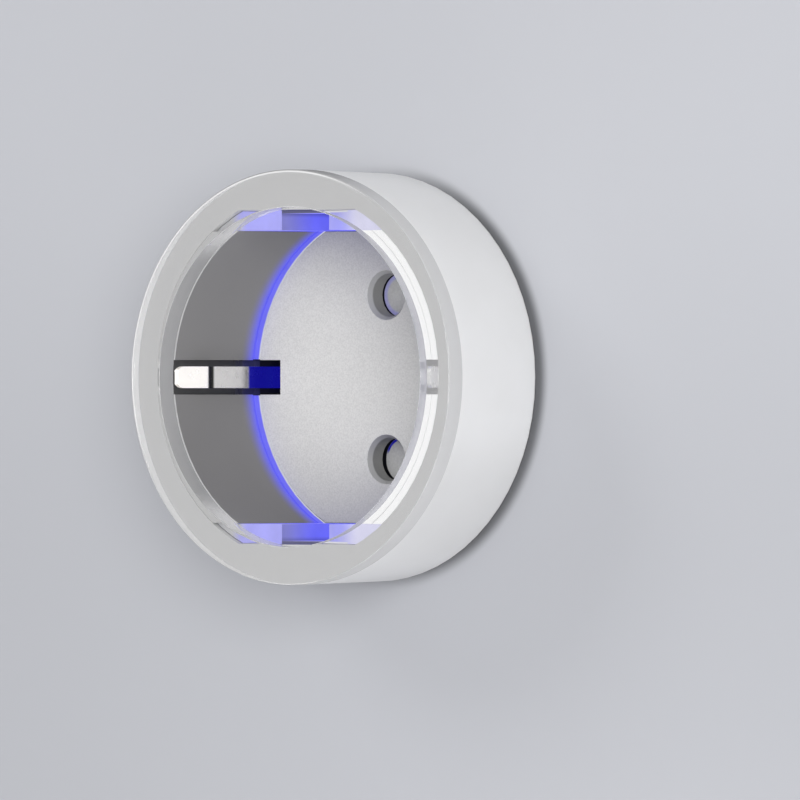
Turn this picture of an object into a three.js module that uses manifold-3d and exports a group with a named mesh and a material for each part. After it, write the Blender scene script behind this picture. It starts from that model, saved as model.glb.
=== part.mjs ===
// A round smart plug: a mains adapter that plugs into a recessed wall outlet and offers a switched,
// recessed socket in front. A clear ring closes the front of a white drum. Behind the socket floor sit
// a safety shutter, the contacts, a ring of LEDs, a relay on a power board and a radio board. A button
// in the neck works a small switch.
//
// Millimetres, +Z up. The plug's axis is Y: the socket faces -Y and the pins point along +Y. The origin
// is the centre of the rear face, between the two pins. Distances called "depth" run from the front
// plane towards +Y.

import * as THREE from 'three';
import { mergeVertices } from 'three/addons/utils/BufferGeometryUtils.js';
import Module from 'manifold-3d';

const wasm = await Module();
wasm.setup();

// ---------------------------------------------------------------- driving dimensions

const BODY_DEPTH = 46; // front plane to rear face
const BOSS_DEPTH = 17.5; // the part that enters the outlet's recess
const DRUM_DEPTH = 16.1; // front plane to the back edge of the drum
const DRUM_R = 23.85;
const DRUM_BACK_R = 23.6;
const DRUM_BORE_R = 22.3;
const RING_DEPTH = 2.35;
const RECESS_R = 19.5;
const RECESS_DEPTH = 17.5;
const PIN_PITCH = 19;
const PIN_R = 2.4;
const PIN_LENGTH = 19;
const BOSS_R = 18.6;
const BOSS_FLAT = 16.5; // half the width across the boss's flats
const WALL = 1.5;
const GAP = 0.15; // between pieces that touch in the real object
const SNUG = 0.05; // between pieces whose seam shows in the recess
const FINE = 64; // segments round a large circle
const COARSE = 24; // segments round a small circle that shows
const HIDDEN = 16; // segments round a small circle inside

// ---------------------------------------------------------------- derived places

const PIN_Z = PIN_PITCH / 2;
const SHOULDER = BODY_DEPTH - BOSS_DEPTH;
const FLOOR_DEPTH = 2.35;
const FLOOR_BACK = RECESS_DEPTH + FLOOR_DEPTH;
const GUIDE_FLAT = 16.9; // half the distance between the light guides' flat faces
const GUIDE_TOP = 3;
const GUIDE_OUTER_Z = 19.2;
const NOTCH_HALF = 3.55;
const SLOT_HALF = 2.0;
const SLOT_INNER_X = 16.0;
const RIM_SLOT_REACH = 21.05; // how far the slots cut into the rim under the lens ring
const CHANNEL_OUTER_X = 21.85; // outside of the pockets round the earth clips
const CHANNEL_HALF = 2.75;
const CHANNEL_TOP = 4.1;
const CHANNEL_END = 15.9;
const LINER_TOP = RING_DEPTH + GAP;
const LINER_R = RECESS_R - 0.05;
const LINER_OUTER_R = 21.1;
const BAND_TOP = RECESS_DEPTH - 0.95; // the lit band round the foot of the recess wall
const BAND_R = 20.25;
const BAND_INNER_R = 19.3;
const SHUTTER_TOP = FLOOR_BACK + 0.3;
const SHUTTER_DEPTH = 1.5;
const CARRIER_TOP = 23.0;
const CARRIER_DEPTH = 1.4;
const CARRIER_BACK = CARRIER_TOP + CARRIER_DEPTH;
const CHAMBER_R = 4.8;
const CHAMBER_BACK = 37.2;
const BOARD_TOP = 38.2;
const BOARD_DEPTH = 1.2;
const REAR_WALL = 2;
const REAR_WALL_TOP = BODY_DEPTH - REAR_WALL;
const SCREWS = [[-9.5, -10.8], [9.5, 10.8]]; // x, z
const SCREW_POST_R = 2.4;
const POST_JOINT = 34; // where the carrier's screw posts meet the rear shell's
const EARTH_WELL_X = 10;
const EARTH_WELL_TOP = 31.5;
const BUTTON_ANGLE = THREE.MathUtils.degToRad(135);
const BUTTON_DEPTH = 23.6;
const CLIP_X = 18.6;
const CLIP_END = 25.4;

const yAt = (depth) => depth - BODY_DEPTH;

// ---------------------------------------------------------------- materials

function plastic(color, roughness = 0.4, extra = {}) {
  return new THREE.MeshStandardMaterial({ color, roughness, metalness: 0, ...extra });
}

function metal(color, roughness = 0.25) {
  return new THREE.MeshStandardMaterial({ color, roughness, metalness: 1 });
}

const whiteShell = plastic(0xe4e4e2, 0.35);
const clearLens = plastic(0xd8dade, 0.15, { transparent: true, opacity: 0.55 });
const litGuide = plastic(0x9a96ff, 0.3, { emissive: 0x2a24ff, emissiveIntensity: 0.8 });
const greyLiner = plastic(0xc9c9c8, 0.5);
const greyPlate = plastic(0xd2d2d1, 0.55);
const greyShutter = plastic(0xb4b4b6, 0.5);
const blackPlastic = plastic(0x26262a, 0.5);
const nickel = metal(0xc8c6c2, 0.2);
const brass = metal(0xc9a860, 0.3);
const copper = metal(0xb87346, 0.35);
const steel = metal(0x8c8e92, 0.35);
const boardGreen = plastic(0x1f5a3a, 0.5);
const ledWhite = plastic(0xeef0ff, 0.3, { emissive: 0x2a24ff, emissiveIntensity: 1 });
const blueSleeve = plastic(0x2c4a86, 0.4);

// ---------------------------------------------------------------- solids and booleans

// A closed geometry as a solid that can be cut and joined.
function solid(geometry) {
  const bare = geometry.clone();
  bare.deleteAttribute('normal');
  bare.deleteAttribute('uv');
  const merged = mergeVertices(bare, 1e-4);
  const vertProperties = merged.getAttribute('position').array;
  const triVerts = new Uint32Array(merged.index.array);
  return new wasm.Manifold(new wasm.Mesh({ numProp: 3, vertProperties, triVerts }));
}

function geometryOf(made) {
  const { vertProperties, triVerts } = made.getMesh();
  const geometry = new THREE.BufferGeometry();
  geometry.setAttribute('position', new THREE.BufferAttribute(new Float32Array(vertProperties), 3));
  geometry.setIndex(new THREE.BufferAttribute(new Uint32Array(triVerts), 1));
  const flat = geometry.toNonIndexed();
  flat.computeVertexNormals();
  return flat;
}

function cut(base, tools) {
  return tools.reduce((left, tool) => left.subtract(tool), base);
}

function join(first, others) {
  return others.reduce((whole, piece) => whole.add(piece), first);
}

// Turns a closed profile of [radius, depth] points round the plug's axis.
function turned(profile, segments = FINE) {
  return turnedFromAxis([...profile, profile[0]], segments);
}

// Turns a profile that starts and ends on the axis, or on itself.
function turnedFromAxis(profile, segments = FINE) {
  const points = profile.map(([r, depth]) => new THREE.Vector2(r, yAt(depth)));
  if (THREE.ShapeUtils.area(points) < 0) points.reverse();
  return solid(new THREE.LatheGeometry(points, segments));
}

// A plain tube or, with no inner radius, a rod along the plug's axis, centred on x and z.
function tube(innerR, outerR, from, to, x = 0, z = 0, segments = COARSE) {
  const outer = new THREE.CylinderGeometry(outerR, outerR, to - from, segments);
  outer.translate(x, yAt((from + to) / 2), z);
  const body = solid(outer);
  if (!innerR) return body;
  return body.subtract(tube(0, innerR, from - 1, to + 1, x, z, segments));
}

// A box between two corners given as [x, depth, z].
function block([x0, d0, z0], [x1, d1, z1]) {
  const geometry = new THREE.BoxGeometry(x1 - x0, d1 - d0, z1 - z0);
  geometry.translate((x0 + x1) / 2, yAt((d0 + d1) / 2), (z0 + z1) / 2);
  return solid(geometry);
}

// A flat outline in x and z, extruded along the plug's axis.
function slab(shape, from, to, segments = COARSE) {
  const geometry = new THREE.ExtrudeGeometry(shape, {
    depth: to - from,
    bevelEnabled: false,
    curveSegments: segments,
  });
  geometry.rotateX(Math.PI / 2);
  geometry.translate(0, yAt(to), 0);
  return solid(geometry);
}

// A bent metal strip: a path of [x, depth] points given a thickness, and a width along z.
function strip(path, thickness, width, z = 0) {
  const points = path.map(([x, depth]) => new THREE.Vector2(x, yAt(depth)));
  const left = [];
  const right = [];
  points.forEach((point, i) => {
    const before = points[Math.max(i - 1, 0)];
    const after = points[Math.min(i + 1, points.length - 1)];
    const along = after.clone().sub(before).normalize();
    const side = new THREE.Vector2(-along.y, along.x).multiplyScalar(thickness / 2);
    left.push(point.clone().add(side));
    right.unshift(point.clone().sub(side));
  });
  const geometry = new THREE.ExtrudeGeometry(new THREE.Shape([...left, ...right]), {
    depth: width,
    bevelEnabled: false,
  });
  geometry.translate(0, 0, z - width / 2);
  return solid(geometry);
}

// A round wire along a curve.
function wire(curve, radius, steps, sides = 6) {
  const section = new THREE.Shape();
  for (let i = 0; i < sides; i++) {
    const angle = (i / sides) * 2 * Math.PI;
    const [x, y] = [radius * Math.cos(angle), radius * Math.sin(angle)];
    if (i === 0) section.moveTo(x, y);
    else section.lineTo(x, y);
  }
  section.closePath();
  const options = { steps, extrudePath: curve, bevelEnabled: false };
  return solid(new THREE.ExtrudeGeometry(section, options));
}

class Helix extends THREE.Curve {
  constructor(radius, turns, pitch) {
    super();
    Object.assign(this, { radius, turns, pitch });
  }

  getPoint(t, target = new THREE.Vector3()) {
    const angle = t * this.turns * 2 * Math.PI;
    return target.set(
      this.radius * Math.cos(angle),
      t * this.turns * this.pitch,
      this.radius * Math.sin(angle),
    );
  }
}

// Points of a quarter round that bulges from one profile direction to the next.
function rounded(centreR, centreDepth, radius, fromAngle, toAngle, steps = 5) {
  return Array.from({ length: steps + 1 }, (_, i) => {
    const angle = fromAngle + ((toAngle - fromAngle) * i) / steps;
    return [centreR + radius * Math.cos(angle), centreDepth + radius * Math.sin(angle)];
  });
}

function ring(innerR, outerR, from, to, segments = FINE) {
  return turned([[innerR, from], [outerR, from], [outerR, to], [innerR, to]], segments);
}

function named(name, made, material) {
  const mesh = new THREE.Mesh(geometryOf(made), material);
  mesh.name = name;
  return mesh;
}

// ---------------------------------------------------------------- shared cutting tools

// The two side slots that the earth clips stand in, as boxes from one depth to another.
function clipSlots(from, to, innerX, half, reach = DRUM_R) {
  return [
    block([innerX, from, -half], [reach, to, half]),
    block([-reach, from, -half], [-innerX, to, half]),
  ];
}

// Boxes that take everything beyond a height above and below the axis.
function beyondFlats(height, from, to) {
  const reach = DRUM_R + 5;
  return [
    block([-reach, from, height], [reach, to, reach]),
    block([-reach, from, -reach], [reach, to, -height]),
  ];
}

// A cylinder that points out from the axis at the button's place, between two radii.
function atButton(radius, fromR, toR, segments = COARSE) {
  const geometry = new THREE.CylinderGeometry(radius, radius, toR - fromR, segments);
  geometry.translate(0, (fromR + toR) / 2, 0);
  return placedAtButton(geometry);
}

// Geometry drawn with +Y as "outwards", turned to face out of the neck at the button.
function placedAtButton(geometry) {
  geometry.rotateX(Math.PI / 2);
  geometry.rotateY(Math.PI / 2 - BUTTON_ANGLE);
  geometry.translate(0, yAt(BUTTON_DEPTH), 0);
  return solid(geometry);
}

function boxAtButton(width, fromR, toR) {
  const geometry = new THREE.BoxGeometry(width, toR - fromR, width);
  geometry.translate(0, (fromR + toR) / 2, 0);
  return placedAtButton(geometry);
}

// ---------------------------------------------------------------- casing

// Boxes round the pockets in which the earth clips stand, at both sides.
function channelBoxes(from, to, outerX, half) {
  const innerX = 20.6;
  return [
    block([innerX, from, -half], [outerX, to, half]),
    block([-outerX, from, -half], [-innerX, to, half]),
  ];
}

function lensRing() {
  const edge = 0.2;
  const inner = 0.15;
  const profile = [
    [RECESS_R, RING_DEPTH],
    [RECESS_R, inner],
    [RECESS_R + inner, 0],
    ...rounded(DRUM_R - edge, edge, edge, -Math.PI / 2, 0),
    [DRUM_R, RING_DEPTH],
  ];
  return named('lens_ring', turned(profile), clearLens);
}

// The drum. Its front flange has a round opening with flat sides above and below the light guides.
function frontShell() {
  const top = RING_DEPTH + 0.1;
  const flange = 1.4;
  const edge = 0.35;
  const profile = [
    [LINER_OUTER_R + SNUG, top],
    [DRUM_R, top],
    ...rounded(DRUM_BACK_R - edge, DRUM_DEPTH - edge, edge, 0, Math.PI / 2),
    [DRUM_BORE_R, DRUM_DEPTH],
    [DRUM_BORE_R, top + flange],
    [LINER_OUTER_R + SNUG, top + flange],
  ];
  const disc = tube(0, LINER_OUTER_R + 0.3, top, top + flange, 0, 0, FINE);
  const [above, below] = beyondFlats(GUIDE_OUTER_Z + SNUG, top, top + flange);
  const segments = [disc.intersect(above), disc.intersect(below)];
  return named('front_shell', join(turned(profile), segments), whiteShell);
}

const NECK_TOP_R = 22.15;
const NECK_FOOT_R = 20.9;
const SHOULDER_R = 20.4;
const TONGUE_TOP = 10;

function rearOuter() {
  const rear = 1.2;
  const neckTop = DRUM_DEPTH + GAP;
  const profile = [
    [0, TONGUE_TOP],
    [DRUM_BORE_R - GAP - 0.1, TONGUE_TOP],
    [DRUM_BORE_R - GAP - 0.1, neckTop],
    [NECK_TOP_R, neckTop],
    [NECK_FOOT_R, SHOULDER - 1],
    [NECK_FOOT_R - 0.15, SHOULDER - 0.4],
    [SHOULDER_R, SHOULDER],
    [BOSS_R, SHOULDER],
    ...rounded(BOSS_R - rear, BODY_DEPTH - rear, rear, 0, Math.PI / 2),
    [0, BODY_DEPTH],
  ];
  return cut(turnedFromAxis(profile), beyondFlats(BOSS_FLAT, SHOULDER, BODY_DEPTH + 1));
}

function rearCavity() {
  const bossR = BOSS_R - WALL;
  const profile = [
    [0, TONGUE_TOP - 1],
    [LINER_OUTER_R + 0.15, TONGUE_TOP - 1],
    [LINER_OUTER_R + 0.15, 18.9],
    [19.5, 27.2],
    [bossR, 27.2],
    [bossR, REAR_WALL_TOP],
    [0, REAR_WALL_TOP],
  ];
  return cut(turnedFromAxis(profile), beyondFlats(BOSS_FLAT - WALL, 27.2, BODY_DEPTH));
}

const EARTH_BORE_R = 3.1;
const STRIP_HALF = 2.6;

// Where the rear earth strips pass from the neck's hollow, inside the shoulder, to the boss's side slots.
function stripPassages() {
  const [inner, outer, from, to] = [15, 18.55, 26.5, SHOULDER + 1.2];
  return [
    block([inner, from, -STRIP_HALF], [outer, to, STRIP_HALF]),
    block([-outer, from, -STRIP_HALF], [-inner, to, STRIP_HALF]),
  ];
}

function rearShell() {
  const inWall = REAR_WALL_TOP + 0.5;
  const posts = SCREWS.map(([x, z]) => tube(0, SCREW_POST_R, POST_JOINT + 0.3, inWall, x, z));
  const pinBosses = [-PIN_Z, PIN_Z].map((z) => tube(0, 4.2, 40.2, inWall, 0, z));
  const well = tube(0, EARTH_BORE_R + 0.9, EARTH_WELL_TOP, inWall, EARTH_WELL_X, 0);
  const shell = join(rearOuter().subtract(rearCavity()), [...posts, ...pinBosses, well]);
  const holes = [
    ...SCREWS.map(([x, z]) => tube(0, 1.3, POST_JOINT, BODY_DEPTH + 1, x, z)),
    ...SCREWS.map(([x, z]) => tube(0, 2.25, BODY_DEPTH - 1.6, BODY_DEPTH + 1, x, z)),
    ...[-PIN_Z, PIN_Z].map((z) => tube(0, PIN_R + 0.1, 40, BODY_DEPTH + 1, 0, z)),
    ...[-PIN_Z, PIN_Z].map((z) => tube(0, 3.35, 42.3, 43.6, 0, z)),
    tube(0, EARTH_BORE_R, EARTH_WELL_TOP + 0.8, BODY_DEPTH + 1, EARTH_WELL_X, 0),
    ...clipSlots(SHOULDER + 1, REAR_WALL_TOP, 15, STRIP_HALF),
    ...stripPassages(),
    ...channelBoxes(TONGUE_TOP - 1, CHANNEL_END + GAP, DRUM_BORE_R, CHANNEL_HALF + GAP),
    atButton(2.85, 15, 26),
  ];
  return named('rear_shell', cut(shell, holes), whiteShell);
}

// ---------------------------------------------------------------- socket recess

// The grey wall of the recess, in two arcs whose white rims show through the lens ring, joined at the
// foot. Each earth clip stands in a pocket.
function recessLiner() {
  const wall = ring(LINER_R, LINER_OUTER_R, LINER_TOP, BAND_TOP);
  const foot = ring(BAND_R + 0.1, LINER_OUTER_R, BAND_TOP - 0.5, 18.9);
  const channels = channelBoxes(CHANNEL_TOP, CHANNEL_END, CHANNEL_OUTER_X, CHANNEL_HALF);
  const score = ring(20.2, 20.26, LINER_TOP - 1, LINER_TOP + 0.12);
  const pocketTop = CHANNEL_TOP + 0.4;
  const pocketReach = CHANNEL_OUTER_X - 0.5;
  const openings = [
    score,
    ...clipSlots(pocketTop, CHANNEL_END - 0.6, SLOT_INNER_X, SLOT_HALF, pocketReach),
    ...clipSlots(0, CHANNEL_END, SLOT_INNER_X, SLOT_HALF, RIM_SLOT_REACH),
    ...clipSlots(0, 18.1, SLOT_INNER_X, SLOT_HALF, 20.45),
    ...beyondFlats(GUIDE_FLAT - SNUG, 0, 17.9),
  ];
  return named('recess_liner', cut(join(wall, [foot, ...channels]), openings), greyLiner);
}

// One translucent moulding: two flat-faced guide blocks with a notch between, on a lit band round the floor.
function lightGuide(name, side) {
  const foot = RECESS_DEPTH + 0.25;
  const blocks = tube(0, 21.05, GUIDE_TOP, foot, 0, 0, FINE);
  const keep = block([-DRUM_R, 0, GUIDE_FLAT], [DRUM_R, 30, GUIDE_OUTER_Z]);
  const notch = block([-NOTCH_HALF, 0, 0], [NOTCH_HALF, BAND_TOP, GUIDE_OUTER_Z - 0.35]);
  const band = ring(BAND_INNER_R, BAND_R, BAND_TOP + SNUG, foot);
  const slotSide = block([-DRUM_R, 0, -DRUM_R], [DRUM_R, 30, SLOT_HALF + 0.1]);
  const half = blocks.intersect(keep).subtract(notch).add(band.subtract(slotSide));
  return named(name, side > 0 ? half : half.mirror([0, 0, 1]), litGuide);
}

function facePlate() {
  const radius = 19.2;
  const profile = [
    [0, RECESS_DEPTH],
    [radius - 0.06, RECESS_DEPTH],
    [radius, RECESS_DEPTH + 0.06],
    [radius, FLOOR_BACK],
    [0, FLOOR_BACK],
  ];
  const holes = [-PIN_Z, PIN_Z].flatMap((z) => {
    const flare = new THREE.CylinderGeometry(2.5, 2.9, 0.6, COARSE);
    flare.translate(0, yAt(RECESS_DEPTH + 0.3), z);
    return [tube(0, 2.5, RECESS_DEPTH - 1, FLOOR_BACK + 1, 0, z), solid(flare)];
  });
  const openings = [
    ...holes,
    ...clipSlots(RECESS_DEPTH - 1, FLOOR_BACK + 1, SLOT_INNER_X, SLOT_HALF),
    ...beyondFlats(GUIDE_FLAT - SNUG, RECESS_DEPTH - 1, FLOOR_BACK + 1),
  ];
  return named('face_plate', cut(turnedFromAxis(profile), openings), greyPlate);
}

// ---------------------------------------------------------------- safety shutter

// Two blades on a hub. Pins pressed on both sloped blade faces together turn it clear of the holes.
function safetyShutter() {
  const hubR = 3.4;
  const tipR = 13.2;
  const halfAngle = THREE.MathUtils.degToRad(18);
  const back = SHUTTER_TOP + SHUTTER_DEPTH;
  const blade = (middle) => {
    const shape = new THREE.Shape();
    shape.moveTo(0, 0);
    shape.absarc(0, 0, tipR, middle - halfAngle, middle + halfAngle, false);
    shape.lineTo(0, 0);
    return slab(shape, SHUTTER_TOP, back, 8);
  };
  const slope = (side) => {
    const wedge = new THREE.BoxGeometry(12, 1, 8);
    wedge.rotateZ(side * THREE.MathUtils.degToRad(4));
    wedge.translate(0, yAt(SHUTTER_TOP - 0.25), side * PIN_Z);
    return solid(wedge);
  };
  const hub = tube(0, hubR, SHUTTER_TOP, back);
  const body = join(hub, [blade(Math.PI / 2), blade(-Math.PI / 2)]);
  const bore = tube(0, 1.58, SHUTTER_TOP - 1, back + 1);
  return named('safety_shutter', cut(body, [slope(1), slope(-1), bore]), greyShutter);
}

function shutterSpring() {
  const coil = wire(new Helix(2.35, 2.5, 0.36), 0.14, 40);
  return named('shutter_spring', coil.translate([0, yAt(21.9), 0]), steel);
}

// ---------------------------------------------------------------- contacts

function contactCarrier() {
  const disc = tube(0, 19.85, CARRIER_TOP, CARRIER_BACK, 0, 0, FINE);
  const chamber = (z) => tube(0, CHAMBER_R, CARRIER_TOP, CHAMBER_BACK, 0, z);
  const chamberBore = (z) => tube(0, CHAMBER_R - 0.7, CARRIER_TOP - 1, CHAMBER_BACK + 1, 0, z);
  const posts = SCREWS.map(([x, z]) => tube(0, SCREW_POST_R, CARRIER_TOP, POST_JOINT, x, z));
  const rests = [[12.2, 4], [12.2, -4], [-12.2, 4], [-12.2, -4]].map(
    ([x, z]) => tube(0, 1.4, FLOOR_BACK + 0.1, CARRIER_TOP + 0.5, x, z),
  );
  const pivot = tube(0, 1.5, FLOOR_BACK + 0.1, CARRIER_TOP + 0.5);
  const openings = [
    chamberBore(PIN_Z),
    chamberBore(-PIN_Z),
    ...SCREWS.map(([x, z]) => tube(0, 1.3, CARRIER_BACK + 1.5, POST_JOINT + 1, x, z)),
    ...clipSlots(CARRIER_TOP - 1, CARRIER_BACK + 1, 17.3, 1.7),
    boxAtButton(9, 14.7, 24),
  ];
  const body = join(disc, [chamber(PIN_Z), chamber(-PIN_Z), ...posts, ...rests, pivot]);
  return named('contact_carrier', cut(body, openings), blackPlastic);
}

// A sprung fork that grips a plug pin: flared mouth, two bowed leaves and a bridge at the foot.
function pinContact(name, z) {
  const mouth = CARRIER_BACK + 0.4;
  const foot = BOARD_TOP - 0.5;
  const leaf = [
    [2.95, mouth],
    [2.45, mouth + 1.6],
    [2.3, mouth + 3.4],
    [2.5, mouth + 6],
    [2.75, mouth + 9],
    [2.75, foot - 0.5],
    [2.4, foot],
  ];
  const mirrored = leaf.map(([x, depth]) => [-x, depth]).reverse();
  return named(name, strip([...leaf, ...mirrored], 0.5, 4.2, z), brass);
}

// A springy strip in the side slot: a rounded tip, a ramp that leans into the recess, and a long leg.
function earthClip(name, side) {
  const width = 2.5;
  const round = 0.9;
  const path = new THREE.SplineCurve([
    new THREE.Vector2(19.5, 2.85),
    new THREE.Vector2(18.75, 4.6),
    new THREE.Vector2(17.85, 6.6),
    new THREE.Vector2(17.7, 7.5),
    new THREE.Vector2(17.85, 8.6),
    new THREE.Vector2(18.2, 12),
    new THREE.Vector2(CLIP_X - 0.05, 15.5),
    new THREE.Vector2(CLIP_X, 18),
    new THREE.Vector2(CLIP_X, CLIP_END),
  ]);
  const points = path.getPoints(28).map((point) => [side * point.x, point.y]);
  const blank = strip(points, 0.5, width);
  const outline = new THREE.Shape();
  const [half, top] = [width / 2, 2.85];
  outline.moveTo(yAt(30), -half);
  outline.lineTo(yAt(30), half);
  outline.lineTo(yAt(top + round), half);
  outline.absarc(yAt(top + round), half - round, round, Math.PI / 2, Math.PI, false);
  outline.absarc(yAt(top + round), round - half, round, Math.PI, Math.PI * 1.5, false);
  outline.closePath();
  const options = { depth: 50, bevelEnabled: false, curveSegments: 6 };
  const punch = new THREE.ExtrudeGeometry(outline, options);
  punch.translate(0, 0, -25);
  const alongX = new THREE.Vector3(1, 0, 0);
  const alongY = new THREE.Vector3(0, 1, 0);
  const alongZ = new THREE.Vector3(0, 0, 1);
  punch.applyMatrix4(new THREE.Matrix4().makeBasis(alongY, alongZ, alongX));
  return named(name, blank.intersect(solid(punch)), nickel);
}

function earthStrap() {
  const half = 18.1;
  return named('earth_strap', block([-half, 24.8, -1.9], [half, 25.4, 1.9]), nickel);
}

// The strip that shows in the side of the boss and meets the outlet's own earth contact.
function rearEarthStrip(name, side) {
  const x = 18.1;
  const path = [[x - 0.25, 25.7], [x - 0.25, 28.3], [x, 29.8], [x, 41.5], [x - 0.6, 43.2]];
  const sided = path.map(([pointX, depth]) => [side * pointX, depth]);
  return named(name, strip(sided, 0.5, 4.4), nickel);
}

// The sleeve inside the well that takes an outlet's earth pin.
function earthSleeve() {
  const [innerR, outerR] = [EARTH_BORE_R - 0.55, EARTH_BORE_R - 0.2];
  const sleeve = tube(innerR, outerR, EARTH_WELL_TOP + 1.2, BODY_DEPTH - 2, EARTH_WELL_X, 0);
  return named('earth_sleeve', sleeve, nickel);
}

function outletPin(name, z) {
  const tip = 1.6;
  const pinEnd = BODY_DEPTH + PIN_LENGTH;
  const profile = [
    [0, BOARD_TOP + BOARD_DEPTH + 0.2],
    [1.0, BOARD_TOP + BOARD_DEPTH + 0.2],
    [1.0, 41],
    [PIN_R, 41],
    [PIN_R, 42.45],
    [3.2, 42.45],
    [3.2, 43.45],
    [PIN_R, 43.45],
    ...rounded(PIN_R - tip, pinEnd - tip, tip, 0, Math.PI / 2),
    [0, pinEnd],
  ];
  return named(name, turnedFromAxis(profile, COARSE).translate([0, 0, z]), nickel);
}

// ---------------------------------------------------------------- light board

const LED_ANGLES = [25, 65, 115, 155, 205, 245, 295, 335];

function ledBoard() {
  const board = ring(14.8, 20.3, 20.1, 21.1);
  const openings = [...clipSlots(19, 22, 17.4, SLOT_HALF), boxAtButton(9, 14.7, 24)];
  return named('led_board', cut(board, openings), boardGreen);
}

function led(index) {
  const body = new THREE.BoxGeometry(0.85, 0.8, 1.7);
  body.translate(19.85, yAt(19.6), 0);
  body.rotateY(-THREE.MathUtils.degToRad(LED_ANGLES[index]));
  return named(`led_${index + 1}`, solid(body), ledWhite);
}

// ---------------------------------------------------------------- power board and its components

function powerBoard() {
  const disc = tube(0, 16.4, BOARD_TOP, BOARD_TOP + BOARD_DEPTH, 0, 0, FINE);
  const openings = [
    ...beyondFlats(14.4, BOARD_TOP - 1, BOARD_TOP + 3),
    ...SCREWS.map(([x, z]) => tube(0, SCREW_POST_R + 0.3, BOARD_TOP - 1, BOARD_TOP + 3, x, z)),
    tube(0, EARTH_BORE_R + 1.3, BOARD_TOP - 1, BOARD_TOP + 3, EARTH_WELL_X, 0),
  ];
  return named('power_board', cut(disc, openings), boardGreen);
}

const RELAY = { x0: -13.8, x1: -5.0, z: 7, top: 27 };
const RELAY_X = (RELAY.x0 + RELAY.x1) / 2;
const CORE_Z = 1.6;

function relayCover() {
  const wall = 0.6;
  const foot = BOARD_TOP - 0.2;
  const outer = block([RELAY.x0, RELAY.top, -RELAY.z], [RELAY.x1, foot, RELAY.z]);
  const hollow = block(
    [RELAY.x0 + wall, RELAY.top + wall, -RELAY.z + wall],
    [RELAY.x1 - wall, foot + 1, RELAY.z - wall],
  );
  return named('relay_cover', outer.subtract(hollow), blackPlastic);
}

// The iron core and the yoke that carries the armature's hinge edge.
function relayCore() {
  const core = tube(0, 1.1, 29.4, 37.4, RELAY_X, CORE_Z);
  const foot = block([RELAY_X - 2.2, 36.9, -5.4], [RELAY_X + 2.2, 37.8, 4.6]);
  const yoke = block([RELAY_X - 2.2, 29.2, -5.4], [RELAY_X + 2.2, 37.8, -4.4]);
  return named('relay_core', join(core, [foot, yoke]), steel);
}

function relayCoil() {
  const winding = tube(1.3, 3.2, 30.3, 35.9, RELAY_X, CORE_Z);
  const flange = (from, to) => tube(1.3, 3.5, from, to, RELAY_X, CORE_Z);
  const flanges = [flange(29.9, 30.5), flange(35.7, 36.7)];
  return named('relay_coil', join(winding, flanges), copper);
}

// Lies on the yoke's edge, and swings down onto the core.
function relayArmature() {
  const plate = block([RELAY_X - 2.1, 28.2, -5.3], [RELAY_X + 2.1, 28.9, 5.4]);
  return named('relay_armature', plate, steel);
}

function storageCapacitor() {
  const crimp = [[2.5, 36.6], [2.35, 36.9], [2.5, 37.2]];
  const profile = [[0, 28.4], [2.2, 28.4], [2.5, 28.7], ...crimp, [2.5, 38], [0, 38]];
  const can = turnedFromAxis(profile, COARSE).translate([9.2, 0, -9.2]);
  return named('storage_capacitor', can, blueSleeve);
}

function transformer() {
  const core = block([-10.4, 29, 7.9], [-5.3, 38, 12]);
  const winding = block([-10.0, 30.4, 7.5], [-5.7, 36.6, 12.4]);
  return named('transformer', core.add(winding), copper);
}

function fuse() {
  return named('fuse', tube(0, 1.3, 29.5, 38, 6.1, -4.9), greyLiner);
}

// ---------------------------------------------------------------- radio board

const RADIO = { x0: 5, x1: 15, z: 7.6, top: 27 };

function radioBoard() {
  const board = block([RADIO.x0, RADIO.top, -RADIO.z], [RADIO.x1, RADIO.top + 0.8, RADIO.z]);
  return named('radio_board', board, boardGreen);
}

function radioShield() {
  return named('radio_shield', block([6, 25.7, -6.8], [12.4, RADIO.top - 0.1, 3.4]), nickel);
}

function antenna() {
  const coil = wire(new Helix(1.0, 5, 1.7), 0.22, 60, 5);
  const turnedCoil = coil.rotate([90, 0, 0]);
  return named('antenna', turnedCoil.translate([14, yAt(29.2), -4.2]), copper);
}

function boardHeader() {
  const body = block([5.3, RADIO.top + 0.9, 2.4], [6.4, BOARD_TOP - 0.1, 6.8]);
  return named('board_header', body, blackPlastic);
}

// ---------------------------------------------------------------- button

function buttonCap() {
  const head = atButton(2.7, 18.6, 21.8);
  const flange = atButton(3.3, 18.6, 19.2);
  const dish = new THREE.SphereGeometry(12, 48, 24);
  dish.translate(0, 21.8 + 11.75, 0);
  return named('button_cap', head.add(flange).subtract(placedAtButton(dish)), whiteShell);
}

function switchPlunger() {
  return named('switch_plunger', atButton(1.2, 17.6, 18.4, HIDDEN), blackPlastic);
}

function tactSwitch() {
  const well = atButton(1.35, 16.9, 19, HIDDEN);
  return named('tact_switch', boxAtButton(4.4, 15.9, 17.9).subtract(well), steel);
}

function buttonBoard() {
  return named('button_board', boxAtButton(7, 15.0, 15.8), boardGreen);
}

// ---------------------------------------------------------------- fasteners

function caseScrew(index) {
  const [x, z] = SCREWS[index];
  const head = tube(0, 2.0, BODY_DEPTH - 1.4, BODY_DEPTH - 0.2, x, z);
  const shank = tube(0, 1.1, 27, BODY_DEPTH - 1, x, z);
  const recess = tube(0, 0.95, BODY_DEPTH - 0.9, BODY_DEPTH, x, z, 3);
  return named(`case_screw_${index + 1}`, head.add(shank).subtract(recess), steel);
}

// ---------------------------------------------------------------- assembly

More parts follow.
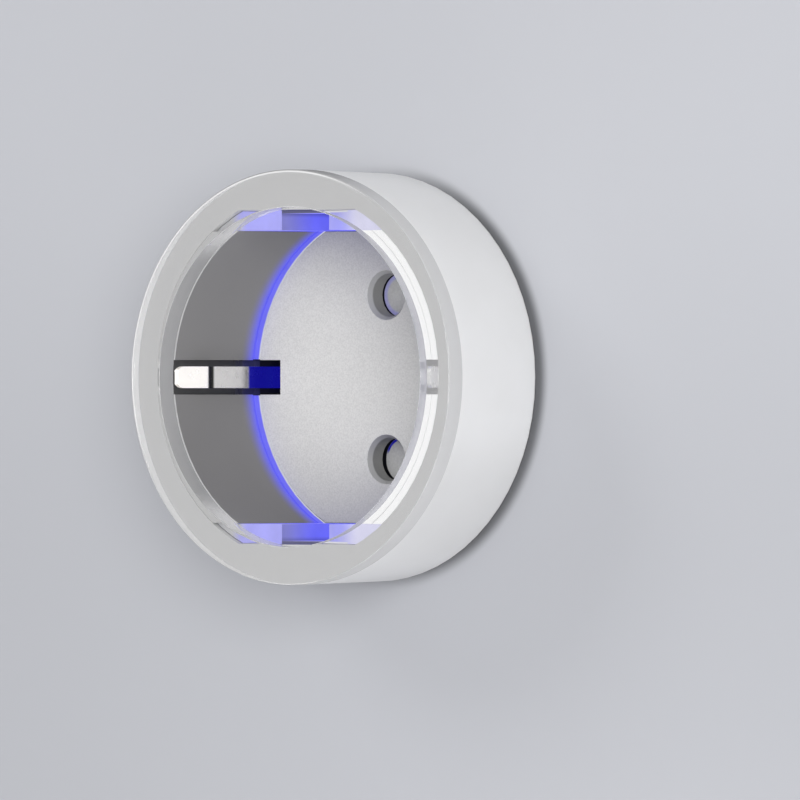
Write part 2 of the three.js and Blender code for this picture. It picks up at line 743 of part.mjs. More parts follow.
const plug = new THREE.Group();
plug.add(
  lensRing(),
  frontShell(),
  rearShell(),
  recessLiner(),
  lightGuide('light_guide_upper', 1),
  lightGuide('light_guide_lower', -1),
  facePlate(),
  safetyShutter(),
  shutterSpring(),
  contactCarrier(),
  pinContact('live_contact', PIN_Z),
  pinContact('neutral_contact', -PIN_Z),
  earthClip('earth_clip_right', 1),
  earthClip('earth_clip_left', -1),
  earthStrap(),
  rearEarthStrip('rear_earth_strip_right', 1),
  rearEarthStrip('rear_earth_strip_left', -1),
  earthSleeve(),
  outletPin('live_pin', PIN_Z),
  outletPin('neutral_pin', -PIN_Z),
  ledBoard(),
  ...LED_ANGLES.map((_, index) => led(index)),
  powerBoard(),
  relayCover(),
  relayCore(),
  relayCoil(),
  relayArmature(),
  storageCapacitor(),
  transformer(),
  fuse(),
  radioBoard(),
  radioShield(),
  antenna(),
  boardHeader(),
  buttonCap(),
  switchPlunger(),
  tactSwitch(),
  buttonBoard(),
  ...SCREWS.map((_, index) => caseScrew(index)),
);

export default plug;
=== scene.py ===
import math
from collections import namedtuple

import bmesh
import bpy
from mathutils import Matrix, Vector

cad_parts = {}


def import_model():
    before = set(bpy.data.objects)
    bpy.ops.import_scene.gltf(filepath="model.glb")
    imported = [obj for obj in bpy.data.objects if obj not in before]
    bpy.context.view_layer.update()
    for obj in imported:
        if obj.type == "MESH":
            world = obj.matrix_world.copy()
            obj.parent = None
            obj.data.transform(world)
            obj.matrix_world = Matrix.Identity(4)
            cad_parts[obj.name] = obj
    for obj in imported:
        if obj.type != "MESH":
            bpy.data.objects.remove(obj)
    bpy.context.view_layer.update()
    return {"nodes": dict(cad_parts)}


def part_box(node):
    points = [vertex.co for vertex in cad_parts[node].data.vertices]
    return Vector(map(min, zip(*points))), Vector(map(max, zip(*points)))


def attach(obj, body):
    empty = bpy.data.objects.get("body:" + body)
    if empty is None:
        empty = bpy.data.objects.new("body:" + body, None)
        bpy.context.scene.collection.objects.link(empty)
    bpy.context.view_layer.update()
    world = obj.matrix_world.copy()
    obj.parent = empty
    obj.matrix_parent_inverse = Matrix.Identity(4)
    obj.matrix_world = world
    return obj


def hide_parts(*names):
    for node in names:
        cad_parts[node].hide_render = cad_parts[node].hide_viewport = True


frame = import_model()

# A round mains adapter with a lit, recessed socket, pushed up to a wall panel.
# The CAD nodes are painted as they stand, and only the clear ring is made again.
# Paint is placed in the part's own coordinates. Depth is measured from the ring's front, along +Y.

NODES = frame["nodes"]
MM = 0.001

# ------------------------------------------------------------ places taken from the frame

FRONT_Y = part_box("lens_ring")[0].y


def depth_of(name, end=0):
    """How far behind the front plane a node starts, or with end 1 where it stops."""
    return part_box(name)[end].y - FRONT_Y


RING_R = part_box("lens_ring")[1].x
DRUM_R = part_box("front_shell")[1].x
DRUM_BACK_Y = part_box("front_shell")[1].y
DRUM_DEPTH = depth_of("front_shell", end=1)
FLANGE_DEPTH = depth_of("front_shell")
RIM_DEPTH = depth_of("recess_liner")
FLOOR_DEPTH = depth_of("face_plate")
PIN_Z = (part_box("live_pin")[0].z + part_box("live_pin")[1].z) / 2

# Sizes inside a node, which its box doesn't give.
RECESS_R = 19.5 * MM
SLOT_HALF = 2.1 * MM
NOTCH_HALF = 3.6 * MM
PIN_HOLE_R = 2.5 * MM
CHAMFER_R = 3.2 * MM


# ------------------------------------------------------------ node materials

Place = namedtuple("Place", "point x depth z radius")


class Graph:
    """A material's node tree, with short calls to add nodes and join them."""

    def __init__(self, name):
        self.material = bpy.data.materials.new(name)
        self.material.use_nodes = True
        self.tree = self.material.node_tree
        self.tree.nodes.clear()
        self.out = self.add("ShaderNodeOutputMaterial")

    def add(self, kind, inputs=None, **settings):
        """A new node, with inputs by name or number and settings by attribute."""
        node = self.tree.nodes.new(kind)
        for key, value in settings.items():
            setattr(node, key, value)
        for key, value in (inputs or {}).items():
            self.feed(node.inputs[key], value)
        return node

    def feed(self, socket, value):
        """Links another node's output to a socket, or sets its number or colour."""
        if isinstance(value, bpy.types.NodeSocket):
            self.tree.links.new(value, socket)
        elif isinstance(value, (tuple, list)) and socket.type == "RGBA":
            socket.default_value = (*value[:3], 1.0)
        else:
            socket.default_value = value

    def math(self, operation, a, b=0.0):
        return self.add("ShaderNodeMath", {0: a, 1: b}, operation=operation).outputs[0]

    def times(self, first, *others):
        """The product of numbers and masks; of masks, it is where all of them are."""
        for other in others:
            first = self.math("MULTIPLY", first, other)
        return first

    def larger(self, a, b):
        return self.math("MAXIMUM", a, b)

    def absolute(self, value):
        return self.math("ABSOLUTE", value)

    def inverse(self, mask):
        """1 where the mask is 0, and 0 where it is 1."""
        return self.math("SUBTRACT", 1.0, mask)

    def ramp(self, value, low, high):
        """0 where value is low, 1 where it is high, and eased between; low may be above high."""
        flip = low > high
        node = self.add(
            "ShaderNodeMapRange",
            {"Value": value, "From Min": min(low, high), "From Max": max(low, high),
             "To Min": 1.0 if flip else 0.0, "To Max": 0.0 if flip else 1.0},
            interpolation_type="SMOOTHSTEP",
        )
        return node.outputs[0]

    def mix(self, factor, a, b):
        """Colour a where the factor is 0, and b where it is 1."""
        node = self.add("ShaderNodeMix", data_type="RGBA")
        self.feed(node.inputs[0], factor)
        self.feed(node.inputs[6], a)
        self.feed(node.inputs[7], b)
        return node.outputs[2]

    def darken(self, tint, mask, share):
        """Takes a share of a colour's light away where the mask is 1."""
        return self.mix(self.times(mask, share), tint, (0.0, 0.0, 0.0))

    def vector(self, operation, a, b=(0, 0, 0)):
        return self.add("ShaderNodeVectorMath", {0: a, 1: b}, operation=operation)

    def place(self):
        """The point in the part's own frame, with its x, depth, z and distance from the axis."""
        point = self.add("ShaderNodeTexCoord").outputs["Object"]
        x, y, z = self.add("ShaderNodeSeparateXYZ", {0: point}).outputs
        flat = self.vector("MULTIPLY", point, (1, 0, 1)).outputs[0]
        radius = self.vector("LENGTH", flat).outputs["Value"]
        return Place(point, x, self.math("SUBTRACT", y, FRONT_Y), z, radius)

    def noise(self, point, size, detail=2.0, stretch=None):
        """Noise whose grains are about size metres across, stretched along an axis if asked."""
        if stretch:
            point = self.vector("MULTIPLY", point, stretch).outputs[0]
        node = self.add(
            "ShaderNodeTexNoise", {"Vector": point, "Scale": 1.0 / size, "Detail": detail}
        )
        return node.outputs["Fac"]

    def spread(self, noise, low, high):
        """Moves a noise into a narrow range."""
        node = self.add(
            "ShaderNodeMapRange",
            {"Value": noise, "From Min": 0.3, "From Max": 0.7, "To Min": low, "To Max": high},
        )
        return node.outputs[0]

    def bump(self, height, distance, strength=1.0, normal=None):
        node = self.add(
            "ShaderNodeBump", {"Height": height, "Distance": distance, "Strength": strength}
        )
        if normal is not None:
            self.feed(node.inputs["Normal"], normal)
        return node.outputs[0]

    def surface(self, **inputs):
        named = {key.replace("_", " "): value for key, value in inputs.items()}
        return self.add("ShaderNodeBsdfPrincipled", named)

    def finish(self, shader):
        self.feed(self.out.inputs["Surface"], shader.outputs[0])
        return self.material


def radial_turn(g, point):
    """1 where a face looks straight away from the plug's axis, -1 where it looks at the axis."""
    flat = g.vector("MULTIPLY", point, (1, 0, 1)).outputs[0]
    outwards = g.vector("NORMALIZE", flat).outputs[0]
    facing = g.add("ShaderNodeNewGeometry").outputs["True Normal"]
    return g.vector("DOT_PRODUCT", facing, outwards).outputs["Value"]


def from_pin_axis(g, x, z):
    """Distance from the axis of the nearer pin hole."""
    across = g.math("SUBTRACT", g.absolute(z), PIN_Z)
    return g.math("SQRT", g.math("ADD", g.times(x, x), g.times(across, across)))


def seen_only(g, strength, share=0.2):
    """A glow that the camera sees in full, but that lights its surroundings only weakly."""
    bounce = g.add("ShaderNodeLightPath").outputs["Is Diffuse Ray"]
    return g.times(strength, g.inverse(g.times(bounce, 1.0 - share)))


def moulded(name, color, roughness, grain=0.25 * MM, depth=0.004 * MM, cloud=0.02, coat=0.0):
    """Moulded plastic: a fine spark-eroded grain, faint clouding and slightly uneven gloss."""
    g = Graph(name)
    point = g.place().point
    clouding = g.noise(point, 9 * MM, detail=3)
    tint = g.mix(
        g.spread(clouding, 0.0, 1.0),
        tuple(c * (1 - cloud) for c in color),
        tuple(min(1.0, c * (1 + cloud)) for c in color),
    )
    shader = g.surface(
        Base_Color=tint,
        Roughness=g.spread(clouding, roughness - 0.03, roughness + 0.03),
        Coat_Weight=coat,
        Coat_Roughness=0.2,
        Normal=g.bump(g.noise(point, grain), depth),
    )
    return g.finish(shader)


def shell_plastic():
    """White and satin, with painted shade: grey on the flange under the ring, darker below the middle
    and on the rounded rear edge, and dark on the inner walls.
    """
    g = Graph("shell_plastic")
    at = g.place()
    clouding = g.noise(at.point, 12 * MM, detail=3)
    tint = g.mix(g.spread(clouding, 0.0, 1.0), (0.80, 0.80, 0.795), (0.84, 0.84, 0.84))
    # Painted shade: darker below the middle of the drum, less so at the very bottom.
    lower_side_shade = g.math(
        "SUBTRACT",
        g.ramp(at.z, -4 * MM, -14 * MM),
        g.times(0.6, g.ramp(at.z, -17 * MM, -22 * MM)),
    )
    tint = g.darken(tint, lower_side_shade, 0.12)
    # Painted shade: the flange under the ring is grey.
    flange = g.times(
        g.ramp(at.depth, FLANGE_DEPTH + 0.05 * MM, FLANGE_DEPTH + 0.02 * MM),
        g.ramp(at.radius, DRUM_R, DRUM_R - 0.05 * MM),
    )
    tint = g.mix(flange, tint, (0.61, 0.61, 0.61))
    # Painted shade on the rounded rear edge.
    rear_edge_shade = g.times(
        g.ramp(at.depth, DRUM_DEPTH - 0.5 * MM, DRUM_DEPTH),
        g.ramp(at.radius, DRUM_R - 0.65 * MM, DRUM_R - 0.55 * MM),
    )
    tint = g.mix(rear_edge_shade, tint, (0.50, 0.49, 0.47))
    # Painted shade: faces inside the drum that look towards the axis are nearly black.
    inner_wall_shade = g.times(
        g.ramp(radial_turn(g, at.point), -0.3, -0.7),
        g.ramp(at.depth, 3.0 * MM, 3.2 * MM),
    )
    grain = g.bump(g.noise(at.point, 0.22 * MM), 0.003 * MM)
    ripple = g.noise(at.point, 6 * MM, detail=1)
    shader = g.surface(
        Base_Color=g.mix(inner_wall_shade, tint, (0.03, 0.03, 0.032)),
        Roughness=g.spread(clouding, 0.30, 0.36),
        Subsurface_Weight=0.12,
        Subsurface_Radius=(1.0, 0.95, 0.9),
        Subsurface_Scale=0.8 * MM,
        Normal=g.bump(ripple, 0.02 * MM, strength=0.6, normal=grain),
    )
    return g.finish(shader)


def clear_plastic():
    """Clear acrylic with faint flow waves, a slight milkiness where light enters, and painted shade
    and painted reflections on its walls.

    Light passes straight through it to what lies behind."""
    g = Graph("clear_plastic")
    at = g.place()
    waves = g.noise(at.point, 7 * MM)
    clear = g.surface(
        Base_Color=(0.97, 0.97, 0.97),
        Roughness=g.spread(waves, 0.0, 0.04),
        IOR=1.49,
        Transmission_Weight=1.0,
        Normal=g.bump(waves, 0.003 * MM),
    )
    turn = radial_turn(g, at.point)
    leaving = g.add("ShaderNodeNewGeometry").outputs["Backfacing"]
    entering = g.inverse(leaving)
    # The walls carry painted shade and painted reflections, seen where light enters them or, through
    # the ring, where it leaves by their backs. The inner wall's painted shade thins out at the top
    # and bottom of the recess.
    mid_height = g.ramp(g.absolute(at.z), 17 * MM, 13 * MM)
    thinning = g.math("ADD", g.times(mid_height, 0.75), 0.25)
    inner_wall_shade = g.times(g.ramp(turn, -0.6, -0.9), entering, thinning)
    outer_wall = g.times(g.ramp(turn, 0.6, 0.9), entering)
    inner_back = g.times(g.ramp(turn, 0.6, 0.9), leaving)
    outer_back_painted_reflection = g.times(g.ramp(turn, -0.6, -0.9), leaving)
    # A painted highlight line and a painted dark line follow the ring's edge at the upper left.
    upper_left = g.times(entering, g.ramp(g.math("SUBTRACT", at.z, at.x), 2 * MM, 20 * MM))
    from_edge = g.math("SUBTRACT", RING_R, at.radius)
    painted_highlight_line = g.times(upper_left, g.ramp(from_edge, 0.34 * MM, 0.30 * MM))
    painted_shade_line = g.times(upper_left, g.ramp(from_edge, 0.14 * MM, 0.11 * MM))
    # A slight milkiness everywhere light enters; the walls and edge lines then take painted light and
    # shade on top.
    haze_and_painted_light = g.times(entering, 0.07)
    tone = (0.5, 0.5, 0.5)
    for where, share, its_tone in (
        (inner_wall_shade, 0.8, (0.32, 0.32, 0.32)),
        (outer_wall, 0.65, (0.70, 0.70, 0.68)),
        (inner_back, 0.8, (0.50, 0.50, 0.56)),
        (outer_back_painted_reflection, 0.85, (0.88, 0.88, 0.88)),
        (painted_highlight_line, 0.7, (0.92, 0.92, 0.92)),
        (painted_shade_line, 0.9, (0.34, 0.34, 0.34)),
    ):
        haze_and_painted_light = g.larger(haze_and_painted_light, g.times(where, share))
        tone = g.mix(where, tone, its_tone)
    haze_and_painted_light_diffuse = g.add("ShaderNodeBsdfDiffuse", {"Color": tone})
    body = g.add("ShaderNodeMixShader", {0: haze_and_painted_light, 1: clear.outputs[0], 2: haze_and_painted_light_diffuse.outputs[0]})
    open_to_light = g.add("ShaderNodeBsdfTransparent", {"Color": (0.92, 0.92, 0.92)})
    path = g.add("ShaderNodeLightPath").outputs
    passes = g.larger(path["Is Shadow Ray"], path["Is Diffuse Ray"])
    both = g.add(
        "ShaderNodeMixShader", {0: passes, 1: body.outputs[0], 2: open_to_light.outputs[0]}
    )
    return g.finish(both)


# Colours of the painted glow in the guides, from the front of a block down to the floor.
PALE_GLOW = (0.375, 0.37, 0.93)
PALE_GLOW_MIDDLE = (0.33, 0.33, 0.93)
PALE_GLOW_RIGHT = (0.74, 0.73, 0.95)
GLOW = (0.095, 0.095, 0.90)
DIM_SIDE = (0.20, 0.20, 0.56)
DEEP_SIDE = (0.13, 0.135, 0.98)
WALL_GLOW = (0.07, 0.07, 0.72)

# Where the painted glow meets the floor it ends in a pale painted line.
PALE_LINE_GLOW = (0.64, 0.65, 0.70)
PALE_LINE = (FLOOR_DEPTH - 0.25 * MM, FLOOR_DEPTH + 0.05 * MM)


def lit_guide():
    """Milky plastic with a painted glow for the light of the LEDs behind it: pale at the front of the
    blocks, deep blue near the floor.
    """
    g = Graph("lit_guide")
    at = g.place()
    height = g.absolute(at.z)
    normal = g.add("ShaderNodeNewGeometry").outputs["Normal"]
    normal_x, _, normal_z = g.add("ShaderNodeSeparateXYZ", {0: normal}).outputs

    # The glow below is painted: its colour follows the place on the block and the depth.
    front = g.mix(g.ramp(at.x, 3 * MM, 5 * MM), PALE_GLOW, PALE_GLOW_MIDDLE)
    front = g.mix(g.ramp(at.x, 5 * MM, 9 * MM), front, PALE_GLOW_RIGHT)
    face_color = g.mix(g.ramp(at.depth, 3.6 * MM, 10.5 * MM), front, GLOW)
    # A painted highlight runs along a block's outer edge, to the right of its notch.
    painted_edge_highlight = g.times(
        g.ramp(height, 18.98 * MM, 19.04 * MM),
        g.ramp(at.x, NOTCH_HALF, NOTCH_HALF + 0.1 * MM),
        g.ramp(at.x, 7.4 * MM, 7.1 * MM),
    )
    face_color = g.mix(painted_edge_highlight, face_color, (0.75, 0.75, 0.80))
    face_color = g.mix(g.ramp(at.depth, *PALE_LINE), face_color, PALE_LINE_GLOW)

    side = g.times(g.ramp(g.absolute(normal_x), 0.7, 0.9), g.ramp(at.depth, 16.0 * MM, 15.6 * MM))
    side_color = g.mix(g.ramp(at.depth, 3.0 * MM, 9.5 * MM), DIM_SIDE, DEEP_SIDE)

    # The painted glow leaves out the front of a block's left end, painted a shaded grey, and nearly
    # leaves out the wall over the notch, as painted shade.
    unlit_end = g.times(
        g.ramp(at.x, -8.6 * MM, -10.4 * MM), g.ramp(at.depth, 3.6 * MM, 3.2 * MM)
    )
    over_notch = g.times(
        g.ramp(height, 18.3 * MM, 18.85 * MM),
        g.ramp(g.absolute(at.x), NOTCH_HALF, NOTCH_HALF - 0.1 * MM),
        g.ramp(g.absolute(normal_z), 0.9, 0.7),
    )
    lit = g.inverse(g.larger(unlit_end, g.times(over_notch, 0.85)))
    milk = g.spread(g.noise(at.point, 2.5 * MM, detail=3), 0.82, 0.94)
    shader = g.surface(
        Base_Color=g.mix(unlit_end, (0.06, 0.06, 0.08), (0.58, 0.58, 0.60)),
        Roughness=0.35,
        Emission_Color=g.mix(side, face_color, side_color),
        Emission_Strength=g.times(lit, seen_only(g, milk)),
        Normal=g.bump(g.noise(at.point, 0.3 * MM), 0.003 * MM),
    )
    return g.finish(shader)


def liner_plastic():
    """Grey wall, darker towards the bottom, under rims painted white towards the right as painted
    light, with painted blue light spilling up from its foot.

    The pockets of the earth clips carry painted shade at the left and painted light at the right."""
    g = Graph("liner_plastic")
    at = g.place()
    clouding = g.noise(at.point, 8 * MM, detail=3)
    right = g.ramp(at.x, 2 * MM, 8 * MM)
    down = g.ramp(at.depth, RIM_DEPTH + 0.06 * MM, RIM_DEPTH + 0.12 * MM)
    # Painted light: the rims turn from grey to white towards the right.
    rim = g.mix(right, (0.55, 0.55, 0.55), (0.95, 0.95, 0.95))
    wall = g.mix(
        g.ramp(at.z, -18 * MM, 18 * MM), (0.225, 0.22, 0.215), (0.262, 0.258, 0.252)
    )
    # Painted shade in the left clip's pocket, painted light in the right one.
    pocket = g.times(
        g.ramp(g.absolute(at.z), SLOT_HALF + 0.04 * MM, SLOT_HALF),
        g.larger(right, g.ramp(at.radius, RECESS_R + 0.1 * MM, RECESS_R + 0.3 * MM)),
        down,
    )
    pocket_painted_shade_and_light = g.mix(right, (0.125, 0.125, 0.125), (0.95, 0.95, 0.95))
    tint = g.mix(pocket, g.mix(down, rim, wall), pocket_painted_shade_and_light)

    # Painted blue light spilling up the wall from its foot.
    painted_blue_spill = g.math("POWER", g.ramp(at.depth, 13.6 * MM, 16.9 * MM), 2.2)
    inward = g.ramp(at.radius, RECESS_R + 0.2 * MM, RECESS_R + 0.1 * MM)
    # Painted glow: weak on the rims at the right, stronger in the right pocket.
    painted_lift = g.math("ADD", g.times(right, g.inverse(down), 0.15), g.times(pocket, right, 0.62))
    glow = g.mix(g.ramp(at.depth, *PALE_LINE), WALL_GLOW, PALE_LINE_GLOW)
    shader = g.surface(
        Base_Color=g.mix(g.times(painted_blue_spill, 0.7), tint, (0.03, 0.03, 0.20)),
        Roughness=g.spread(clouding, 0.46, 0.56),
        Emission_Color=g.mix(g.times(down, g.inverse(pocket)), (1.0, 1.0, 1.0), glow),
        Emission_Strength=seen_only(g, g.math("ADD", painted_lift, g.times(painted_blue_spill, inward))),
        Normal=g.bump(g.noise(at.point, 0.2 * MM), 0.004 * MM),
    )
    return g.finish(shader)


def floor_plastic():
    """Light grey with the fine speckle and bite of an eroded mould face, with painted shade towards
    the right and towards the ends. Holes and slots carry painted shade.
    """
    g = Graph("floor_plastic")
    at = g.place()
    speckle = g.noise(at.point, 0.17 * MM, detail=3)
    coarse = g.noise(at.point, 0.6 * MM)
    tint = g.mix(g.spread(speckle, 0.0, 1.0), (0.84, 0.835, 0.815), (1.0, 0.995, 0.97))
    # Painted shade: darker towards the right, and towards both ends, more at the lower end.
    tint = g.darken(tint, g.ramp(at.x, -12 * MM, 15 * MM), 0.3)
    lower = g.ramp(at.z, 2 * MM, -2 * MM)
    end_shade_share = g.math("ADD", g.times(lower, 0.10), 0.10)
    tint = g.darken(tint, g.ramp(g.absolute(at.z), 5 * MM, 17 * MM), end_shade_share)

    # Painted shade in the pin holes' chamfers and bores, lighter in the upper hole than the lower,
    # and in the slots.
    upper = g.ramp(at.z, -1 * MM, 1 * MM)
    below = g.ramp(at.depth, FLOOR_DEPTH + 0.02 * MM, FLOOR_DEPTH + 0.06 * MM)
    hole = g.ramp(from_pin_axis(g, at.x, at.z), CHAMFER_R, CHAMFER_R - 0.06 * MM)
    chamfer_shade = g.mix(upper, (0.45, 0.45, 0.44), (0.56, 0.56, 0.55))
    tint = g.mix(g.times(hole, below), tint, chamfer_shade)
    bore = g.ramp(at.depth, FLOOR_DEPTH + 0.5 * MM, FLOOR_DEPTH + 0.62 * MM)
    bore_shade = g.mix(upper, (0.30, 0.30, 0.29), (0.41, 0.41, 0.395))
    tint = g.mix(g.times(hole, bore), tint, bore_shade)
    slot = g.times(
        g.ramp(g.absolute(at.z), SLOT_HALF + 0.02 * MM, SLOT_HALF - 0.04 * MM),
        g.ramp(g.absolute(at.x), 15.8 * MM, 15.9 * MM),
        below,
    )
    shader = g.surface(
        Base_Color=g.mix(slot, tint, (0.03, 0.03, 0.03)),
        Roughness=g.spread(coarse, 0.42, 0.58),
        Normal=g.bump(coarse, 0.012 * MM, normal=g.bump(speckle, 0.02 * MM)),
    )
    return g.finish(shader)


def shutter_plastic():
    """Grey, with painted black shade past the pin holes' edges.

    Painted light leaks in round the upper hole, and as a painted blue sliver at the top of the lower
    one."""
    g = Graph("shutter_plastic")
    at = g.place()
    fine = g.noise(at.point, 0.3 * MM)
    away = from_pin_axis(g, at.x, at.z)
    upper = g.ramp(at.z, -1 * MM, 1 * MM)
    # Painted shade past each hole's edge; painted light round the upper hole and in a sliver of the
    # lower one.
    beyond = g.ramp(away, PIN_HOLE_R, PIN_HOLE_R + 0.06 * MM)
    edge = g.times(g.ramp(away, 1.95 * MM, 2.2 * MM), g.inverse(beyond))
    leak = g.times(edge, upper)
    sliver = g.times(
        edge, g.ramp(away, 2.2 * MM, 2.3 * MM), g.inverse(upper), g.ramp(at.z, -9.0 * MM, -8.3 * MM)
    )
    tint = g.mix(g.spread(fine, 0.0, 1.0), (0.66, 0.66, 0.66), (0.75, 0.75, 0.75))
    tint = g.darken(tint, leak, 0.15)
    tint = g.mix(g.larger(beyond, sliver), tint, (0.008, 0.008, 0.012))
    shader = g.surface(
        Base_Color=tint,
        Roughness=0.42,
        Emission_Color=g.mix(sliver, (0.0, 0.0, 0.17), (0.006, 0.006, 0.24)),
        Emission_Strength=seen_only(g, g.larger(leak, sliver)),
        Normal=g.bump(fine, 0.006 * MM),
    )
    return g.finish(shader)


def rolled_metal(name, color, roughness, stretch=(40, 1, 40)):
    """Plated strip or pin: fine lines along the piece and small changes in polish."""
    g = Graph(name)
    point = g.place().point
    lines = g.noise(point, 4 * MM, detail=4, stretch=stretch)
    marks = g.noise(point, 1.6 * MM, detail=3)
    shader = g.surface(
        Base_Color=g.mix(g.spread(marks, 0.0, 1.0), tuple(c * 0.93 for c in color), color),
        Metallic=1.0,
        Roughness=g.spread(marks, roughness - 0.05, roughness + 0.07),
        Normal=g.bump(lines, 0.0015 * MM),
    )
    return g.finish(shader)


def clip_metal():
    """Nickel strip with a painted highlight on its front slope, painted shade in the crease and a
    painted blue reflection near the floor.

    On the right clip the front slope is painted a flat, non-metallic grey with a weak painted glow."""
    g = Graph("clip_metal")
    at = g.place()
    lines = g.noise(at.point, 4 * MM, detail=4, stretch=(1, 1, 30))
    marks = g.noise(at.point, 1.2 * MM, detail=3)
    right = g.ramp(at.x, -1 * MM, 1 * MM)
    # Painted light and shade: highlight on the front slope, shade in the crease, blue reflection near
    # the floor, and a flat grey on the right clip's slope.
    slope = g.ramp(at.depth, 6.6 * MM, 6.4 * MM)
    crease = g.times(
        g.ramp(at.depth, 6.3 * MM, 6.7 * MM), g.ramp(at.depth, 7.5 * MM, 7.1 * MM)
    )
    deep = g.ramp(at.depth, 13.9 * MM, 14.7 * MM)
    painted_grey_slope = g.times(right, slope)
    tint = g.mix(slope, (0.84, 0.83, 0.82), (1.0, 0.99, 0.96))
    tint = g.mix(painted_grey_slope, tint, (0.50, 0.50, 0.50))
    tint = g.mix(deep, tint, (0.05, 0.05, 0.3))
    tint = g.mix(crease, tint, (0.05, 0.05, 0.05))
    slope_light = g.mix(right, (0.60, 0.575, 0.54), (0.22, 0.22, 0.22))
    shader = g.surface(
        Base_Color=tint,
        Metallic=g.inverse(g.times(painted_grey_slope, 0.9)),
        Roughness=g.spread(marks, 0.2, 0.3),
        Emission_Color=g.mix(deep, slope_light, (0.006, 0.005, 0.25)),
        Emission_Strength=seen_only(g, g.larger(deep, slope), share=0.1),
        Normal=g.bump(lines, 0.001 * MM),
    )
    return g.finish(shader)


def board_laminate():
    """Green solder mask over copper tracks."""
    g = Graph("board_laminate")
    point = g.place().point
    tracks = g.add(
        "ShaderNodeTexBrick",
        {"Vector": point, "Scale": 420.0, "Mortar Size": 0.06, "Brick Width": 1.6,
         "Row Height": 0.4, "Color1": (0.02, 0.16, 0.07), "Color2": (0.03, 0.19, 0.08),
         "Mortar": (0.09, 0.30, 0.14)},
    ).outputs
    shader = g.surface(
        Base_Color=tracks["Color"],
        Roughness=g.spread(g.noise(point, 0.5 * MM), 0.28, 0.4),
        Coat_Weight=0.4,
        Normal=g.bump(tracks["Fac"], 0.03 * MM),
    )
    return g.finish(shader)


def lit_led():
    """A small blue lamp with a slightly cloudy lens."""
    g = Graph("lit_led")
    shader = g.surface(
        Base_Color=(0.9, 0.9, 0.95),
        Roughness=0.3,
        Emission_Color=(0.05, 0.04, 1.0),
        Emission_Strength=g.spread(g.noise(g.place().point, 0.5 * MM), 1.6, 2.4),
    )
    return g.finish(shader)


def wound_wire():
    """Enamelled wire in close turns."""
    g = Graph("wound_wire")
    turns = g.add(
        "ShaderNodeTexWave",
        {"Vector": g.place().point, "Scale": 900.0, "Distortion": 0.3},
        bands_direction="Y",
    ).outputs["Fac"]
    shader = g.surface(
        Base_Color=g.mix(turns, (0.30, 0.10, 0.04), (0.75, 0.36, 0.16)),
        Metallic=0.8,
        Roughness=0.32,
        Normal=g.bump(turns, 0.04 * MM),
    )
    return g.finish(shader)


SHELL = shell_plastic()
CLEAR = clear_plastic()
GUIDE = lit_guide()
LINER = liner_plastic()
FLOOR = floor_plastic()
SHUTTER = shutter_plastic()
BLACK = moulded("black_plastic", (0.018, 0.018, 0.02), 0.45)
SLEEVE = moulded(
    "blue_sleeve", (0.03, 0.07, 0.22), 0.3, grain=0.8 * MM, depth=0.01 * MM, cloud=0.1, coat=0.3
)
CERAMIC = moulded(
    "ceramic_tube", (0.62, 0.60, 0.55), 0.5, grain=0.4 * MM, depth=0.01 * MM, cloud=0.06
)
NICKEL = rolled_metal("nickel_plate", (0.80, 0.78, 0.75), 0.2)
CLIP = clip_metal()
BRASS = rolled_metal("brass_strip", (0.78, 0.57, 0.26), 0.28)
STEEL = rolled_metal("zinc_steel", (0.56, 0.57, 0.58), 0.32, stretch=(30, 30, 1))
COPPER = rolled_metal("copper_wire", (0.80, 0.42, 0.24), 0.3)
WINDING = wound_wire()
BOARD = board_laminate()
LED = lit_led()

FINISH = {
    "lens_ring": CLEAR,
    "front_shell": SHELL,
    "rear_shell": SHELL,
    "button_cap": SHELL,
    "recess_liner": LINER,
    "light_guide_upper": GUIDE,
    "light_guide_lower": GUIDE,
    "face_plate": FLOOR,
    "safety_shutter": SHUTTER,
    "contact_carrier": BLACK,
    "relay_cover": BLACK,
    "board_header": BLACK,
    "switch_plunger": BLACK,
    "earth_clip_right": CLIP,
    "earth_clip_left": CLIP,
    "earth_strap": NICKEL,
    "rear_earth_strip_right": NICKEL,
    "rear_earth_strip_left": NICKEL,
    "earth_sleeve": NICKEL,
    "live_pin": NICKEL,
    "neutral_pin": NICKEL,
    "radio_shield": NICKEL,
    "live_contact": BRASS,
    "neutral_contact": BRASS,
    "shutter_spring": STEEL,
    "relay_core": STEEL,
    "relay_armature": STEEL,
    "tact_switch": STEEL,
    "case_screw_1": STEEL,
    "case_screw_2": STEEL,
    "relay_coil": WINDING,
    "transformer": WINDING,
    "antenna": COPPER,
    "storage_capacitor": SLEEVE,
    "fuse": CERAMIC,
    "led_board": BOARD,
    "power_board": BOARD,
    "radio_board": BOARD,
    "button_board": BOARD,
}
FINISH.update({f"led_{i}": LED for i in range(1, 9)})


# ------------------------------------------------------------ CAD nodes that are shown as they are

EDGE_WIDTH = 0.06 * MM
THIN_EDGE_WIDTH = 0.03 * MM
THIN_EDGED = ("front_shell", "earth_clip_left", "earth_clip_right")


def paint(obj, material):
    obj.data.materials.clear()
    obj.data.materials.append(material)


def soften(obj, width):
    """Joins the loose triangles, clears flat seams, and rounds the edges so that they catch light."""
    custom = obj.data.attributes.get("custom_normal")
    if custom:
        obj.data.attributes.remove(custom)
    for edge in obj.data.edges:
        edge.use_edge_sharp = False
    for face in obj.data.polygons:
        face.use_smooth = True
    weld = obj.modifiers.new("weld", "WELD")
    weld.merge_threshold = 0.002 * MM
    plain = obj.modifiers.new("plain", "DECIMATE")
    plain.decimate_type = "DISSOLVE"
    plain.angle_limit = math.radians(0.4)
    bevel = obj.modifiers.new("bevel", "BEVEL")
    bevel.width = width
    bevel.segments = 2
    bevel.limit_method = "ANGLE"
    bevel.angle_limit = math.radians(28)
    bevel.harden_normals = True


